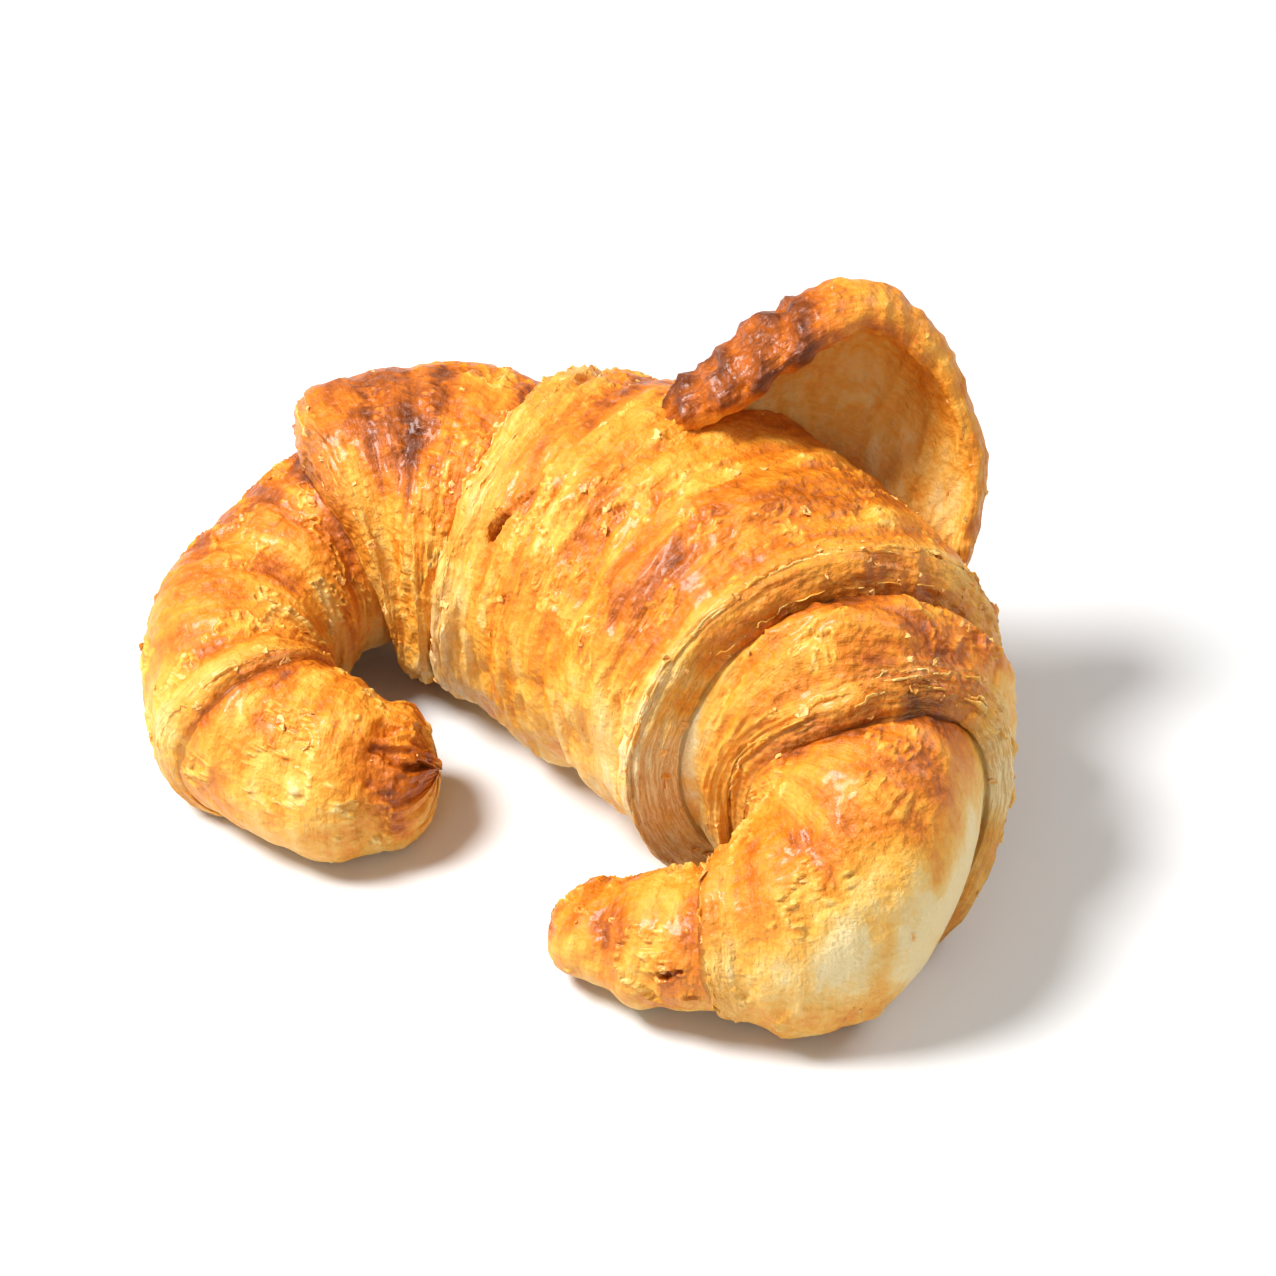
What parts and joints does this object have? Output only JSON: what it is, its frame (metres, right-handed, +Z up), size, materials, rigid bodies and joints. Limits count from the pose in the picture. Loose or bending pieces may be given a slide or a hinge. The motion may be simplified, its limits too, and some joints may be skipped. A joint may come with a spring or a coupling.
{
  "type": "croissant",
  "caption": "Baked butter croissant curled into a near-closed crescent, with rolled overlapping wraps and a raised, forward-curling dough tail behind the middle.",
  "frame": {"origin": "centre of the bounding box's footprint, on the flat underside that the croissant rests on", "axes": "+X along the crescent's longest extent, towards the arm with the slim tip; the bay of the crescent opens towards -Y; +Z up from the resting surface"},
  "size_m": [0.1388, 0.1072, 0.0776],
  "materials": {
    "crust": "satin"
  },
  "bodies": {
    "root": {"croissant": "crust"}
  },
  "joints": []
}
